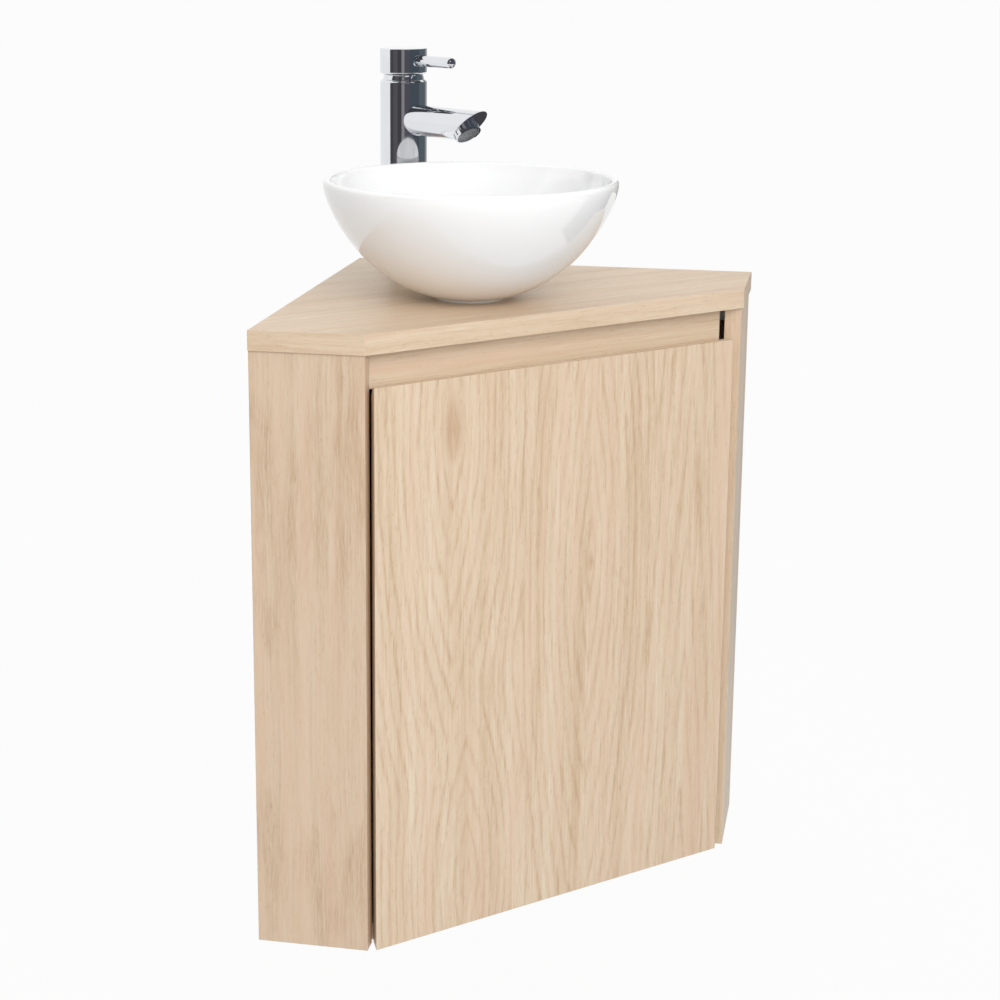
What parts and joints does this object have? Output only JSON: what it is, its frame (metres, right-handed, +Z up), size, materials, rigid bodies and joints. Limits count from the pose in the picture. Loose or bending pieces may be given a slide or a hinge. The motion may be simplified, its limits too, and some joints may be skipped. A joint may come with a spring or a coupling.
{
  "type": "corner hand basin unit",
  "caption": "Wall-hung corner cabinet with angled side panels, a hinged door, a round vessel basin, a tall single-lever tap, a push-open waste and a bottle trap.",
  "frame": {"origin": "the inside corner of the room, level with the carcass's underside", "axes": "+Z up, -Y out of the corner towards the user, with the door facing -Y, and +X to the user's right; the walls run at 45 degrees to X and Y"},
  "size_m": [0.5686, 0.3896, 0.7883],
  "materials": {
    "oak_laminate": "light oak decor laminate on chipboard, satin",
    "hardboard": "smooth face of thin hardboard",
    "beech_dowel": "plain turned beech",
    "white_glaze": "glossy white glaze",
    "chrome_plate": "polished chrome plate",
    "steel_mesh": "fine woven mesh",
    "zinc_plated_steel": "bright zinc plate",
    "raw_brass": "machined",
    "white_plastic": "moulded",
    "clear_bumper": "soft clear stops",
    "cartridge_plastic": "moulded acetal",
    "seal_rubber": "moulded"
  },
  "bodies": {
    "cabinet": {"worktop": "oak_laminate", "side_panel_left": "oak_laminate", "side_panel_right": "oak_laminate", "bottom_panel": "oak_laminate", "front_rail": "oak_laminate", "rear_rail_left": "oak_laminate", "rear_rail_right": "oak_laminate", "back_panel_left": "hardboard", "back_panel_right": "hardboard", "cam_locks": "zinc_plated_steel", "cam_bolts": "zinc_plated_steel", "dowels": "beech_dowel", "rail_screws": "zinc_plated_steel", "corner_blocks": "white_plastic", "block_screws": "zinc_plated_steel", "door_bumpers": "clear_bumper", "catch_housing": "white_plastic", "catch_poles": "zinc_plated_steel", "catch_screws": "zinc_plated_steel", "hinge_plates": "zinc_plated_steel", "hinge_arms": "zinc_plated_steel", "plate_screws": "zinc_plated_steel", "arm_screws": "zinc_plated_steel", "basin": "white_glaze", "basin_seal": "seal_rubber", "waste_flange": "chrome_plate", "waste_body": "chrome_plate", "waste_seal": "seal_rubber", "waste_washer": "seal_rubber", "waste_nut": "chrome_plate", "trap_nut": "chrome_plate", "trap_inlet": "chrome_plate", "trap_bottle": "chrome_plate", "trap_cup": "chrome_plate", "outlet_nut": "chrome_plate", "trap_outlet": "chrome_plate", "wall_rose": "chrome_plate", "tap_body": "chrome_plate", "tap_seal": "seal_rubber", "tap_spout": "chrome_plate", "aerator_ring": "chrome_plate", "aerator_mesh": "steel_mesh", "cartridge_body": "cartridge_plastic", "cartridge_ring": "raw_brass", "tap_dome": "chrome_plate", "tap_stud": "raw_brass", "clamp_pad": "seal_rubber", "clamp_washer": "zinc_plated_steel", "clamp_nut": "raw_brass"},
    "door": {"door": "oak_laminate", "hinge_cups": "zinc_plated_steel", "hinge_pins": "zinc_plated_steel", "cup_screws": "zinc_plated_steel", "strike_plate": "zinc_plated_steel", "strike_screws": "zinc_plated_steel"},
    "tap_turret": {"cartridge_turret": "cartridge_plastic", "cartridge_pin": "zinc_plated_steel"},
    "tap_lever": {"cartridge_stem": "zinc_plated_steel", "lever_cap": "chrome_plate", "lever_rod": "chrome_plate", "lever_screw": "zinc_plated_steel"},
    "waste_plug": {"waste_plug": "chrome_plate"}
  },
  "joints": [
    {"name": "door_hinge", "type": "hinge", "parent": "cabinet", "child": "door", "pos_m": [0.18949, -0.35168, 0.262], "axis": [0, 0, 1], "range_deg": [0, 90]},
    {"name": "tap_swivel", "type": "hinge", "parent": "cabinet", "child": "tap_turret", "pos_m": [0, -0.085, 0.7562], "axis": [0, 0, 1], "range_deg": [-50, 50]},
    {"name": "tap_flow", "type": "hinge", "parent": "tap_turret", "child": "tap_lever", "pos_m": [0, -0.085, 0.7562], "axis": [-0.9877, -0.1564, 0], "range_deg": [0, 16]},
    {"name": "plug_slide", "type": "slide", "parent": "cabinet", "child": "waste_plug", "axis": [0, 0, 1], "range_m": [-0.008, 0]}
  ]
}
